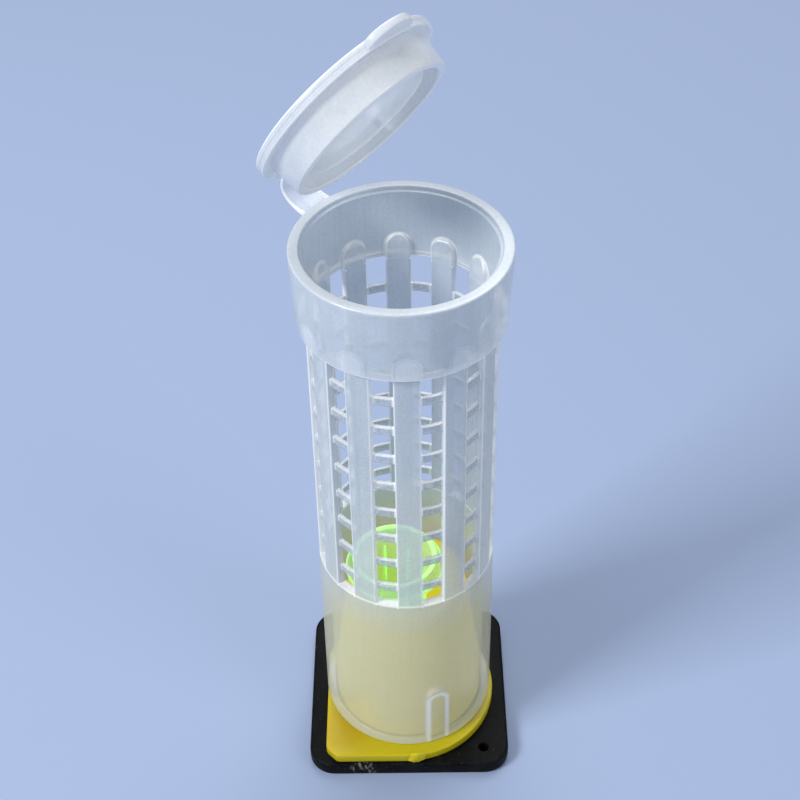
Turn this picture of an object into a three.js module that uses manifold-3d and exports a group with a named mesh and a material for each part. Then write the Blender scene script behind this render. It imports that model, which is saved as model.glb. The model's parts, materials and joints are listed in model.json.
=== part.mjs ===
// Queen cage for bee rearing: a nailed base block, a flanged cup holder, a cell cup,
// a barred cage body that drops over the holder, and a plug lid on a moulded-in strap hinge.
// Units are millimetres, +Z is up, and the origin is the centre of the base block's underside.
import * as THREE from 'three';
import { mergeVertices } from 'three/addons/utils/BufferGeometryUtils.js';
import Module from 'manifold-3d';

const wasm = await Module();
wasm.setup();

// ---------- driving dimensions ----------

const SEAT_GAP = 0.05; // between pieces that rest on each other
const ROUND = 48; // sides of a full circle

// base block
const BLOCK_SIDE = 27.0;
const BLOCK_CORNER = 3.4;
const BLOCK_THICK = 2.1;
const NAIL_HOLE_R = 0.65;
const NAIL_HOLE_X = 10.1;
const NAIL_HOLE_Y = 10.7;
const SPIGOT_R = 7.6;
const SPIGOT_BORE = 6.2;
const SPIGOT_HEIGHT = 2.9;

// cup holder
const FLANGE_Z = BLOCK_THICK + SEAT_GAP;
const FLANGE_THICK = 1.45;
const FLANGE_R = 12.1;
const FLANGE_CENTRE_X = -0.4;
const FLANGE_CENTRE_Y = -0.9;
const FLANGE_CORNER_X = -11.2; // the flange's straight left edge
const FLANGE_CHAMFER = 2.0; // cut across the flange's one square corner
const HOLDER_SEAT_R = 9.9; // fits inside the cage's skirt
const HOLDER_SEAT_HEIGHT = 5.0;
const HOLDER_TOP_R = 7.6;
const HOLDER_HEIGHT = 23.0; // from the flange's underside
const HOLDER_WALL = 1.2;
const SOCKET_TOP_R = 5.3;
const SOCKET_FLOOR_R = 5.0;
const SOCKET_DEPTH = 6.65;
const SOCKET_FLOOR_THICK = 1.3;
const HOLDER_BORE_R = 8.0; // drops over the block's spigot

// cell cup, measured along its own axis from its closed end
const CUP_LENGTH = 10.7;
const CUP_FOOT_R = 3.4;
const CUP_NECK_R = 3.9;
const CUP_RIM_R = 5.5;
const CUP_COLLAR_R = 6.4; // the collar below the rim
const CUP_COLLAR_AT = 8.6;
const CUP_COLLAR_THICK = 0.6;
const CUP_WALL = 0.55;
const CUP_X = -1.5; // the cup stands off centre in its roomy socket

// cage body
const CAGE_Z = FLANGE_Z + FLANGE_THICK + SEAT_GAP;
const CAGE_HEIGHT = 75.0;
const CAGE_FOOT_R = 11.31;
const CAGE_NECK_R = 10.92;
const CAGE_FOOT_BORE = 10.15;
const CAGE_BORE = 9.95;
const SKIRT_HEIGHT = 28.3;
const BARS = 12;
const BAR_WIDTH = 3.05;
const BAR_FRONT_ANGLE = -87.7; // azimuth of the bar nearest the front, degrees
const BAR_DOME_HEIGHT = 3.2; // how far the bars' round tops reach up inside the collar
const BAR_CLAD = 10.85; // bars' outer radius behind the collar
const RINGS = 8;
const RING_LOWEST = 30.55;
const RING_PITCH = 4.33;
const RING_HEIGHT = 1.15;
const RING_INNER = 10.05;
const RING_OUTER = 10.6;
const COLLAR_HEIGHT = 9.35;
const COLLAR_FOOT_R = 11.85;
const COLLAR_TOP_R = 12.29;
const COLLAR_BORE = 10.63;
const LEAD_IN = 0.45; // chamfer at the mouth
const KEYWAY_ANGLE = -69.6; // azimuth, degrees
const KEYWAY_WIDTH = 2.6;
const KEYWAY_HEIGHT = 9.9;
const KEYWAY_FLOOR_R = 10.75;
const KEY_CLEAR = 0.25;

// lid, drawn closed, and the strap that hinges it
const LID_R = 11.6;
const LID_EDGE = 1.2;
const PLUG_ROOT_R = 10.35;
const PLUG_MOUTH_R = 9.95;
const PLUG_DEPTH = 3.7;
const PLUG_WALL = 1.0;
const WELL_R = 6.9;
const WELL_WALL = 0.9;
const WELL_FLOOR = 1.0;
const WELL_RECESS = 0.9; // the well's floor stops short of the plug's mouth
const TAB_REACH = 1.8;
const TAB_HALF_ANGLE = 16.5;
const HINGE_ANGLE = 139.8; // azimuth, degrees
const HINGE_REACH = 16.63; // hinge axis out from the cage's axis
const LID_OPEN = 57.6; // degrees open as drawn
const STRAP_WIDTH = 4.4;
const STRAP_THICK = 0.5;
const STRAP_GAP = 0.05;
const STRAP_ON_RIM = 0.5; // how far below the rim the strap's middle line leaves the collar
const STRAP_UNDER_LID = 0.3; // gap to the lid's rounded edge

const RIM_Z = CAGE_Z + CAGE_HEIGHT;
const HINGE_Z = RIM_Z + SEAT_GAP + LID_EDGE;

// ---------- materials ----------

const blackPlastic = new THREE.MeshStandardMaterial({ color: 0x17191b, roughness: 0.62, metalness: 0 });
const yellowPlastic = new THREE.MeshStandardMaterial({ color: 0xc4ab1c, roughness: 0.38, metalness: 0 });
const greenPlastic = new THREE.MeshStandardMaterial({ color: 0x9fe05f, roughness: 0.3, metalness: 0 });
const frostedPlastic = new THREE.MeshStandardMaterial({
  color: 0xdfe7ea, roughness: 0.4, metalness: 0, transparent: true, opacity: 0.6,
});
const frostedLidPlastic = frostedPlastic.clone();
const strapPlastic = frostedPlastic.clone();

// ---------- shape helpers ----------

/** Welds a closed geometry's shared corners and drops the slivers left at a lathe's poles. */
function weld(geometry) {
  geometry.deleteAttribute('normal');
  geometry.deleteAttribute('uv');
  const welded = mergeVertices(geometry);
  const corners = welded.index.array;
  const kept = [];
  for (let i = 0; i < corners.length; i += 3) {
    const [a, b, c] = [corners[i], corners[i + 1], corners[i + 2]];
    if (a !== b && b !== c && c !== a) kept.push(a, b, c);
  }
  welded.setIndex(kept);
  return welded;
}

/** Turns a closed geometry into a solid that can be joined and cut. */
function toSolid(geometry) {
  const welded = weld(geometry);
  return new wasm.Manifold(new wasm.Mesh({
    numProp: 3,
    vertProperties: new Float32Array(welded.attributes.position.array),
    triVerts: new Uint32Array(welded.index.array),
  }));
}

/** Turns a solid back into a geometry. */
function toGeometry(solid) {
  const mesh = solid.getMesh();
  const geometry = new THREE.BufferGeometry();
  geometry.setAttribute('position', new THREE.BufferAttribute(mesh.vertProperties, 3));
  geometry.setIndex(new THREE.BufferAttribute(mesh.triVerts, 1));
  geometry.computeVertexNormals();
  return geometry;
}

/** Revolves a closed [radius, height] outline, listed anticlockwise, about the Z axis. */
function revolve(outline, sides = ROUND) {
  const points = [...outline, outline[0]].map(([r, z]) => new THREE.Vector2(r, z));
  const geometry = new THREE.LatheGeometry(points, sides);
  geometry.rotateX(Math.PI / 2);
  return toSolid(geometry);
}

/** A flat shape standing upright at radius `inner`, pushed outward by `depth` at an azimuth in degrees. */
function standRadially(shape, inner, depth, azimuth) {
  const geometry = new THREE.ExtrudeGeometry(shape, { depth, bevelEnabled: false, curveSegments: 8 });
  geometry.translate(0, 0, inner);
  geometry.rotateX(Math.PI / 2);
  geometry.rotateZ(THREE.MathUtils.degToRad(azimuth + 90));
  return toSolid(geometry);
}

/** An upright strip with a half-round top, from height `low` to the crown at `high`. */
function tombstone(width, low, high) {
  const half = width / 2;
  const shape = new THREE.Shape();
  shape.moveTo(-half, low);
  shape.lineTo(half, low);
  shape.lineTo(half, high - half);
  shape.absarc(0, high - half, half, 0, Math.PI, false);
  shape.closePath();
  return shape;
}

/** A flat slab of a shape lying in XY, from height `z` up by `thick`. */
function slab(shape, z, thick, curveSegments = 12) {
  const geometry = new THREE.ExtrudeGeometry(shape, { depth: thick, bevelEnabled: false, curveSegments });
  geometry.translate(0, 0, z);
  return toSolid(geometry);
}

/** A named mesh of a solid. */
function piece(name, solid, material) {
  const mesh = new THREE.Mesh(toGeometry(solid), material);
  mesh.name = name;
  return mesh;
}

// ---------- base block ----------

function roundedSquare(side, corner) {
  const half = side / 2;
  const inset = half - corner;
  const shape = new THREE.Shape();
  shape.absarc(inset, inset, corner, 0, Math.PI / 2, false);
  shape.absarc(-inset, inset, corner, Math.PI / 2, Math.PI, false);
  shape.absarc(-inset, -inset, corner, Math.PI, 1.5 * Math.PI, false);
  shape.absarc(inset, -inset, corner, 1.5 * Math.PI, 2 * Math.PI, false);
  shape.closePath();
  return shape;
}

/** The block that is nailed to a frame bar: two nail holes on a diagonal and a ring spigot. */
function baseBlock() {
  const outline = roundedSquare(BLOCK_SIDE, BLOCK_CORNER);
  for (const side of [1, -1]) {
    const hole = new THREE.Path();
    hole.absarc(side * NAIL_HOLE_X, -side * NAIL_HOLE_Y, NAIL_HOLE_R, 0, 2 * Math.PI, true);
    outline.holes.push(hole);
  }
  const plate = slab(outline, 0, BLOCK_THICK, 6);
  const root = BLOCK_THICK - 0.5;
  const top = BLOCK_THICK + SPIGOT_HEIGHT;
  const spigot = revolve([[SPIGOT_BORE, root], [SPIGOT_R, root], [SPIGOT_R, top], [SPIGOT_BORE, top]]);
  return plate.add(spigot);
}

// ---------- cup holder ----------

/** Round flange with one chamfered square corner at front left, which shows which way it faces. */
function flangeShape() {
  const front = FLANGE_CENTRE_Y - FLANGE_R;
  const chordAngle = Math.PI - Math.acos((FLANGE_CENTRE_X - FLANGE_CORNER_X) / FLANGE_R);
  const shape = new THREE.Shape();
  shape.moveTo(FLANGE_CORNER_X, front + FLANGE_CHAMFER);
  shape.lineTo(FLANGE_CORNER_X + FLANGE_CHAMFER, front);
  shape.lineTo(FLANGE_CENTRE_X, front);
  shape.absarc(FLANGE_CENTRE_X, FLANGE_CENTRE_Y, FLANGE_R, -Math.PI / 2, chordAngle, false);
  shape.closePath();
  return shape;
}

/** Flange, hollow tapered plug with a socket in its top, and the key that fits the cage's keyway. */
function cupHolder() {
  const top = FLANGE_Z + HOLDER_HEIGHT;
  const seatTop = FLANGE_Z + FLANGE_THICK + HOLDER_SEAT_HEIGHT;
  const socketFloor = top - SOCKET_DEPTH;
  const flange = slab(flangeShape(), FLANGE_Z, FLANGE_THICK, 16);
  const plug = revolve([
    [0, FLANGE_Z], [HOLDER_SEAT_R, FLANGE_Z], [HOLDER_SEAT_R, seatTop], [HOLDER_TOP_R, top], [0, top],
  ]);
  const socket = revolve([
    [0, socketFloor], [SOCKET_FLOOR_R, socketFloor], [SOCKET_TOP_R, top + 1], [0, top + 1],
  ]);
  const boreTop = socketFloor - SOCKET_FLOOR_THICK;
  const bore = revolve([
    [0, FLANGE_Z - 1], [HOLDER_BORE_R, FLANGE_Z - 1], [HOLDER_BORE_R, seatTop],
    [SOCKET_FLOOR_R + HOLDER_WALL, boreTop], [0, boreTop],
  ]);
  const keyInner = HOLDER_SEAT_R - HOLDER_WALL;
  const keyDepth = KEYWAY_FLOOR_R - KEY_CLEAR - keyInner;
  const keyTop = CAGE_Z + KEYWAY_HEIGHT - KEY_CLEAR;
  const keyShape = tombstone(KEYWAY_WIDTH - 2 * KEY_CLEAR, FLANGE_Z + 0.5, keyTop);
  const key = standRadially(keyShape, keyInner, keyDepth, KEYWAY_ANGLE);
  return flange.add(plug).add(key).subtract(bore).subtract(socket);
}

// ---------- cell cup ----------

/** Small collared cup drawn from its closed end at the origin. */
function cellCup() {
  const collarTop = CUP_COLLAR_AT + CUP_COLLAR_THICK;
  const bore = CUP_NECK_R - CUP_WALL;
  return revolve([
    [0, 0], [CUP_FOOT_R - 0.4, 0], [CUP_FOOT_R, 0.4], [CUP_NECK_R, CUP_COLLAR_AT],
    [CUP_COLLAR_R, CUP_COLLAR_AT], [CUP_COLLAR_R, collarTop], [CUP_RIM_R, collarTop], [CUP_RIM_R, CUP_LENGTH],
    [CUP_RIM_R - CUP_WALL, CUP_LENGTH], [bore, CUP_COLLAR_AT - 0.4], [CUP_FOOT_R - CUP_WALL, 1.8],
    [CUP_FOOT_R - CUP_WALL - 0.8, 1], [0, 1],
  ]);
}

// ---------- cage body ----------

/** The cage's outside radius at a height above its foot. */
function cageRadius(height) {
  const along = height / (CAGE_HEIGHT - COLLAR_HEIGHT);
  return THREE.MathUtils.lerp(CAGE_FOOT_R, CAGE_NECK_R, along);
}

/** Skirt, upright bars, hoops and collar as one moulding, with its foot at z = 0. */
function cageBody() {
  const collarFoot = CAGE_HEIGHT - COLLAR_HEIGHT;
  const barTop = collarFoot + BAR_DOME_HEIGHT;
  const skirt = revolve([
    [CAGE_FOOT_BORE, 0], [CAGE_FOOT_R, 0],
    [cageRadius(SKIRT_HEIGHT), SKIRT_HEIGHT], [CAGE_BORE, SKIRT_HEIGHT],
  ]);
  const barTube = revolve([
    [CAGE_BORE, SKIRT_HEIGHT - 1], [cageRadius(SKIRT_HEIGHT - 1), SKIRT_HEIGHT - 1],
    [CAGE_NECK_R, collarFoot], [BAR_CLAD, barTop + 1], [CAGE_BORE, barTop + 1],
  ]);
  const barShape = tombstone(BAR_WIDTH, SKIRT_HEIGHT - 1, barTop);
  const bars = [];
  for (let i = 0; i < BARS; i += 1) {
    bars.push(standRadially(barShape, CAGE_BORE - 1, 3, BAR_FRONT_ANGLE + (i * 360) / BARS));
  }
  const hoops = [];
  for (let i = 0; i < RINGS; i += 1) {
    const low = RING_LOWEST + i * RING_PITCH;
    const high = low + RING_HEIGHT;
    hoops.push(revolve([[RING_INNER, low], [RING_OUTER, low], [RING_OUTER, high], [RING_INNER, high]]));
  }
  const collar = revolve([
    [COLLAR_BORE, collarFoot], [COLLAR_FOOT_R, collarFoot], [COLLAR_TOP_R, CAGE_HEIGHT - 0.3],
    [COLLAR_TOP_R - 0.2, CAGE_HEIGHT], [COLLAR_BORE + LEAD_IN, CAGE_HEIGHT],
    [COLLAR_BORE, CAGE_HEIGHT - LEAD_IN],
  ]);
  const keywayShape = tombstone(KEYWAY_WIDTH, -1, KEYWAY_HEIGHT);
  const keywayInner = CAGE_FOOT_BORE - 1;
  const keyway = standRadially(keywayShape, keywayInner, KEYWAY_FLOOR_R - keywayInner, KEYWAY_ANGLE);
  const standing = wasm.Manifold.union(bars).intersect(barTube);
  return wasm.Manifold.union([skirt, standing, collar, ...hoops]).subtract(keyway);
}

// ---------- lid and strap ----------

/** Round-nosed thumb tab that runs out past the lid's edge at azimuth 0. */
function tabShape() {
  const halfAngle = THREE.MathUtils.degToRad(TAB_HALF_ANGLE);
  const root = LID_R - 0.3;
  const tip = LID_R + TAB_REACH;
  const shoulderX = root * Math.cos(halfAngle);
  const shoulderY = root * Math.sin(halfAngle);
  const shape = new THREE.Shape();
  shape.moveTo(shoulderX - 1, -shoulderY);
  shape.lineTo(shoulderX, -shoulderY);
  shape.quadraticCurveTo(tip, -shoulderY * 0.95, tip, 0);
  shape.quadraticCurveTo(tip, shoulderY * 0.95, shoulderX, shoulderY);
  shape.lineTo(shoulderX - 1, shoulderY);
  shape.closePath();
  return shape;
}

/** Flanged plug lid drawn closed, its edge's underside at z = 0 and its tab along -X. */
function lid() {
  const mouth = -PLUG_DEPTH;
  const floor = mouth + WELL_RECESS;
  const cap = revolve([
    [0, floor], [WELL_R + WELL_WALL, floor], [WELL_R + WELL_WALL, -0.1],
    [PLUG_MOUTH_R - PLUG_WALL + 0.2, -0.1],
    [PLUG_MOUTH_R - PLUG_WALL, mouth], [PLUG_MOUTH_R, mouth], [PLUG_ROOT_R, 0], [LID_R, 0],
    [LID_R, LID_EDGE - 0.2], [LID_R - 0.2, LID_EDGE], [WELL_R + 0.1, LID_EDGE],
    [WELL_R - 0.1, floor + WELL_FLOOR], [0, floor + WELL_FLOOR],
  ]);
  const tab = slab(tabShape(), 0.1, LID_EDGE - 0.3).rotate([0, 0, 180]);
  return cap.add(tab);
}

/** Thin web from the collar's edge to the open lid's edge, drawn in the hinge's own upright plane. */
function hingeStrap() {
  const rimX = COLLAR_TOP_R + STRAP_GAP;
  const edge = new THREE.Vector2(LID_R + STRAP_UNDER_LID - HINGE_REACH, -LID_EDGE / 2);
  edge.rotateAround(new THREE.Vector2(), THREE.MathUtils.degToRad(-LID_OPEN));
  const lidEnd = new THREE.Vector2(HINGE_REACH + edge.x, HINGE_Z + edge.y);
  const rimEnd = new THREE.Vector2(rimX, RIM_Z - STRAP_ON_RIM);
  const route = new THREE.CubicBezierCurve(
    rimEnd, new THREE.Vector2(rimX + 3.2, RIM_Z),
    new THREE.Vector2(lidEnd.x + 3.9, lidEnd.y - 3.5), lidEnd,
  ).getPoints(14);
  const outer = [];
  const inner = [];
  route.forEach((point, i) => {
    const before = route[Math.max(i - 1, 0)];
    const after = route[Math.min(i + 1, route.length - 1)];
    const side = after.clone().sub(before).normalize();
    outer.push(new THREE.Vector2(point.x + (side.y * STRAP_THICK) / 2, point.y - (side.x * STRAP_THICK) / 2));
    inner.push(new THREE.Vector2(point.x - (side.y * STRAP_THICK) / 2, point.y + (side.x * STRAP_THICK) / 2));
  });
  const shape = new THREE.Shape([...outer, ...inner.reverse()]);
  const geometry = new THREE.ExtrudeGeometry(shape, { depth: STRAP_WIDTH, bevelEnabled: false });
  geometry.translate(0, 0, -STRAP_WIDTH / 2);
  geometry.rotateX(Math.PI / 2);
  return toSolid(geometry);
}

// ---------- assembly ----------

const queenCage = new THREE.Group();
queenCage.add(piece('base_block', baseBlock(), blackPlastic));
queenCage.add(piece('cup_holder', cupHolder(), yellowPlastic));

const cup = piece('cell_cup', cellCup(), greenPlastic);
cup.position.set(CUP_X, 0, FLANGE_Z + HOLDER_HEIGHT - SOCKET_DEPTH + SEAT_GAP);
queenCage.add(cup);

const cage = piece('cage_body', cageBody(), frostedPlastic);
cage.position.z = CAGE_Z;
queenCage.add(cage);

// The hinge group's X axis points from the cage's axis out to the hinge; its Y axis is the hinge's own.
const hingePlane = new THREE.Group();
hingePlane.rotation.z = THREE.MathUtils.degToRad(HINGE_ANGLE);
const hinge = new THREE.Group();
hinge.position.set(HINGE_REACH, 0, HINGE_Z);
hinge.rotation.y = THREE.MathUtils.degToRad(LID_OPEN);
const lidMesh = piece('lid', lid(), frostedLidPlastic);
lidMesh.position.set(-HINGE_REACH, 0, -LID_EDGE);
hinge.add(lidMesh);
hingePlane.add(hinge);
hingePlane.add(piece('hinge_strap', hingeStrap(), strapPlastic));
queenCage.add(hingePlane);

export default queenCage;
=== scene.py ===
"""Queen cage: the finished look of a roller cage standing on its cup holder and base block.

Shapes are drawn in millimetres in the part's own frame and become metres when a piece is finished.
"""

from __future__ import annotations

import json
import logging
import math
from collections.abc import Iterable, Sequence
from dataclasses import dataclass, field
from enum import Enum

import bpy
import numpy as np
from mathutils import Matrix, Vector

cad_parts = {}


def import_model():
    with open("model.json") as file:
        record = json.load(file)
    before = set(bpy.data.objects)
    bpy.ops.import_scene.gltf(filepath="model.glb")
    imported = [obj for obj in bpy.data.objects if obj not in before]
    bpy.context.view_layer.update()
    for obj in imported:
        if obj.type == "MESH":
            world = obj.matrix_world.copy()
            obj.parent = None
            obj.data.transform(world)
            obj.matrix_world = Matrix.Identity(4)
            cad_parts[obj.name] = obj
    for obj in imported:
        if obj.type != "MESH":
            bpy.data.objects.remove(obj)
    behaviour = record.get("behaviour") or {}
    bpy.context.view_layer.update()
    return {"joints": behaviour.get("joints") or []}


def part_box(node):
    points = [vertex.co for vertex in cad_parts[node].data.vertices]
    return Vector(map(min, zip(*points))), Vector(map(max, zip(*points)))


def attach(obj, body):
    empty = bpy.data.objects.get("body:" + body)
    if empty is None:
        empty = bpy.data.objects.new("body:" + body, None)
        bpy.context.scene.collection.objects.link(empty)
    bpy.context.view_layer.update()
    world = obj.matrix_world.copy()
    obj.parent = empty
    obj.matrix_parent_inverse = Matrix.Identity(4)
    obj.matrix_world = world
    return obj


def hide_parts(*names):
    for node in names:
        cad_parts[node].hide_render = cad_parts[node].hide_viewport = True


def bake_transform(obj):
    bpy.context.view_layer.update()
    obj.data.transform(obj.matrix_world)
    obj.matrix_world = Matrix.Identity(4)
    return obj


LOG = logging.getLogger("queen_cage")
MM = 0.001
DRAWN = "drawn_place"
LONGEST_ROUNDING = 0.45
PLASTIC_IOR = 1.49
Corner = tuple[float, float, float]
Colour = tuple[float, float, float]
Point = tuple[float, float, float]
Socket = bpy.types.NodeSocket
Material = bpy.types.Material
Piece = bpy.types.Object


class Joining(Enum):
    """The ways in which one solid changes another."""

    UNION = "UNION"
    CUT = "DIFFERENCE"


# ---------------------------------------------------------------- shape drawing


def soften(corners: Sequence[Corner], steps: int = 4) -> np.ndarray:
    """Rounds the corners of a closed flat outline, each over at most LONGEST_ROUNDING of its sides.

    Args:
        corners: (across, up, radius) of each corner, listed anticlockwise.
        steps: segments in each rounded corner.

    Returns:
        The outline's points, one row each.
    """
    points: list[np.ndarray] = []
    count = len(corners)
    for i, (x, y, radius) in enumerate(corners):
        here = np.array((x, y))
        before = np.array(corners[i - 1][:2]) - here
        after = np.array(corners[(i + 1) % count][:2]) - here
        if radius <= 0:
            points.append(here)
            continue
        reach_before = min(radius, LONGEST_ROUNDING * float(np.linalg.norm(before)))
        reach_after = min(radius, LONGEST_ROUNDING * float(np.linalg.norm(after)))
        start = here + before / np.linalg.norm(before) * reach_before
        end = here + after / np.linalg.norm(after) * reach_after
        for k in range(steps + 1):
            t = k / steps
            points.append((1 - t) ** 2 * start + 2 * t * (1 - t) * here + t * t * end)
    return np.array(points)


def arc(centre: tuple[float, float], radius: float, start: float, end: float, steps: int) -> list[Corner]:
    """Points along an arc, as sharp corners for an outline.

    Args:
        centre: the arc's centre.
        radius: its radius.
        start: first angle in degrees.
        end: last angle in degrees.
        steps: segments along it.

    Returns:
        Corners with no rounding.
    """
    angles = np.radians(np.linspace(start, end, steps + 1))
    return [(centre[0] + radius * math.cos(a), centre[1] + radius * math.sin(a), 0.0) for a in angles]


@dataclass
class Solid:
    """A closed mesh while it is being drawn."""

    points: np.ndarray
    faces: list[tuple[int, ...]]

    def turned(self, matrix: Matrix) -> Solid:
        """This solid carried by a matrix."""
        carry = np.array(matrix)
        return Solid(self.points @ carry[:3, :3].T + carry[:3, 3], self.faces)

    def place(self, name: str) -> Piece:
        """An object in the scene that holds this solid."""
        mesh = bpy.data.meshes.new(name)
        mesh.from_pydata(self.points.tolist(), [], self.faces)
        mesh.update()
        placed = bpy.data.objects.new(name, mesh)
        bpy.context.scene.collection.objects.link(placed)
        return placed


def revolve(corners: Sequence[Corner], sides: int = 192, steps: int = 4) -> Solid:
    """Turns a closed outline about the upright axis.

    Args:
        corners: (radius, height, rounding) of each corner, anticlockwise with radius to the right.
        sides: segments round the full turn.
        steps: segments in each rounded corner.

    Returns:
        The solid of revolution.
    """
    outline = soften(corners, steps)
    angles = np.arange(sides) * 2 * math.pi / sides
    points: list[tuple[float, float, float]] = []
    rings: list[list[int]] = []
    for radius, height in outline:
        if radius < 1e-6:
            rings.append([len(points)] * sides)
            points.append((0.0, 0.0, height))
            continue
        rings.append(list(range(len(points), len(points) + sides)))
        points.extend((radius * math.cos(a), radius * math.sin(a), height) for a in angles)
    faces: list[tuple[int, ...]] = []
    for low, high in zip(rings, rings[1:] + rings[:1]):
        if low[0] == low[1] and high[0] == high[1]:
            continue
        for k in range(sides):
            after = (k + 1) % sides
            quad = (low[k], low[after], high[after], high[k])
            faces.append(tuple(dict.fromkeys(quad)))
    return Solid(np.array(points), faces)


def loft(rings: Sequence[np.ndarray]) -> Solid:
    """Skins a row of closed rings and caps both ends.

    Args:
        rings: equal lists of points, each anticlockwise seen from the last ring's side.

    Returns:
        The closed solid.
    """
    size = len(rings[0])
    faces: list[tuple[int, ...]] = [tuple(reversed(range(size)))]
    for row in range(len(rings) - 1):
        base = row * size
        for k in range(size):
            after = (k + 1) % size
            faces.append((base + k, base + after, base + size + after, base + size + k))
    last = (len(rings) - 1) * size
    faces.append(tuple(range(last, last + size)))
    return Solid(np.concatenate(rings), faces)


def slab(outline: np.ndarray, low: float, high: float, edge: float, steps: int = 4) -> Solid:
    """A flat plate with rounded top and bottom edges.

    Args:
        outline: its plan, anticlockwise.
        low: height of its underside.
        high: height of its top.
        edge: radius of the rounded edges.
        steps: segments in each rounded edge.

    Returns:
        The plate.
    """
    ahead = np.roll(outline, -1, axis=0) - outline
    ahead /= np.linalg.norm(ahead, axis=1)[:, None]
    tangent = ahead + np.roll(ahead, 1, axis=0)
    tangent /= np.linalg.norm(tangent, axis=1)[:, None]
    inward = np.stack([-tangent[:, 1], tangent[:, 0]], axis=1)
    angles = np.linspace(0, math.pi / 2, steps + 1)
    levels = [(edge * (1 - math.sin(a)), low + edge * (1 - math.cos(a))) for a in angles]
    levels += [(edge * (1 - math.cos(a)), high - edge * (1 - math.sin(a))) for a in angles]
    rings = [
        np.column_stack([outline + inward * inset, np.full(len(outline), height)])
        for inset, height in levels
    ]
    return loft(rings)


def upright_strip(
    half_width: float, inner: float, outer: float, low: float, crown: float, azimuth: float, sink: float = 0.0
) -> Solid:
    """A strip standing at a radius, with a half-round top that can also slope back into a wall.

    Args:
        half_width: half its width.
        inner: radius of its inner face.
        outer: radius of its outer face.
        low: height of its foot.
        crown: height of its top.
        azimuth: where it stands, in degrees.
        sink: how far the inner face falls back towards the outer one at the crown.

    Returns:
        The strip.
    """
    rings = []
    shoulder = crown - half_width
    rises = [math.sin(k * math.pi / 16) for k in range(8)]
    levels = [(low, 0.0)] + [(shoulder + half_width * rise, rise) for rise in rises]
    for height, rise in levels:
        narrowing = math.sqrt(max(1 - rise * rise, 0.0))
        wide = half_width * narrowing
        near = inner + sink * (1 - narrowing)
        section = soften(
            [
                (outer, -wide, 0.2), (outer, -wide / 3, 0), (outer, wide / 3, 0), (outer, wide, 0.2),
                (near, wide, 0.3), (near, wide / 3, 0), (near, -wide / 3, 0), (near, -wide, 0.3),
            ]
        )
        turn = section[:, 1] / outer
        rings.append(
            np.column_stack([
                section[:, 0] * np.cos(turn), section[:, 0] * np.sin(turn), np.full(len(section), height),
            ])
        )
    return loft(rings).turned(Matrix.Rotation(math.radians(azimuth), 4, "Z"))


def bake(piece: Piece) -> None:
    """Makes a piece's modifiers part of its mesh."""
    bpy.context.view_layer.update()
    evaluated = piece.evaluated_get(bpy.context.evaluated_depsgraph_get())
    mesh = bpy.data.meshes.new_from_object(evaluated)
    piece.modifiers.clear()
    piece.data = mesh


def join(target: Piece, tool: Piece, how: Joining) -> None:
    """Adds a solid to another, or cuts it away, and removes the tool.

    Args:
        target: the solid that is changed.
        tool: the solid that changes it.
        how: union or cut.
    """
    change = target.modifiers.new("join", "BOOLEAN")
    change.operation = how.value
    change.solver = "MANIFOLD"
    change.object = tool
    bake(target)
    bpy.data.objects.remove(tool)


# ---------------------------------------------------------------- geometry nodes


class GeometryTree:
    """A geometry node tree with named inputs."""

    def __init__(self, name: str) -> None:
        """Starts an empty tree that takes and gives geometry."""
        self.tree = bpy.data.node_groups.new(name, "GeometryNodeTree")
        self.tree.interface.new_socket("Geometry", in_out="INPUT", socket_type="NodeSocketGeometry")
        self.tree.interface.new_socket("Geometry", in_out="OUTPUT", socket_type="NodeSocketGeometry")
        self.inputs = self.tree.nodes.new("NodeGroupInput")
        self.outputs = self.tree.nodes.new("NodeGroupOutput")
        self.values: dict[str, object] = {}

    def knob(self, name: str, kind: str, value: object) -> Socket:
        """Adds a named input.

        Args:
            name: its name.
            kind: its socket type, such as Float or Int.
            value: what the modifier sets it to.

        Returns:
            The socket that gives its value inside the tree.
        """
        added = self.tree.interface.new_socket(name, in_out="INPUT", socket_type=f"NodeSocket{kind}")
        self.values[added.identifier] = value
        return self.inputs.outputs[name]

    def node(self, kind: str, **settings: object) -> bpy.types.Node:
        """Adds a node and sets its properties."""
        added = self.tree.nodes.new(kind)
        for name, value in settings.items():
            setattr(added, name, value)
        return added

    def link(self, start: Socket, end: Socket) -> None:
        """Joins an output to an input."""
        self.tree.links.new(start, end)

    def maths(self, operation: str, first: object, second: object) -> Socket:
        """Adds a maths node.

        Args:
            operation: what it does, such as MULTIPLY.
            first: a socket or a number.
            second: a socket or a number.

        Returns:
            The result's socket.
        """
        added = self.node("ShaderNodeMath", operation=operation)
        for end, value in zip(added.inputs, (first, second)):
            if isinstance(value, Socket):
                self.link(value, end)
            else:
                end.default_value = value
        return added.outputs[0]

    def finish(self, geometry: Socket, material: Material) -> None:
        """Realizes the instances, sets their material and gives the result."""
        real = self.node("GeometryNodeRealizeInstances")
        dressed = self.node("GeometryNodeSetMaterial")
        self.link(geometry, real.inputs["Geometry"])
        self.link(real.outputs["Geometry"], dressed.inputs["Geometry"])
        self.link(self.knob("Material", "Material", material), dressed.inputs["Material"])
        self.link(dressed.outputs["Geometry"], self.outputs.inputs[0])

    def run(self, piece: Piece) -> None:
        """Runs the tree on a piece and keeps the result as its mesh."""
        modifier = piece.modifiers.new("nodes", "NODES")
        modifier.node_group = self.tree
        for identifier, value in self.values.items():
            modifier[identifier] = value
        bake(piece)


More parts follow.
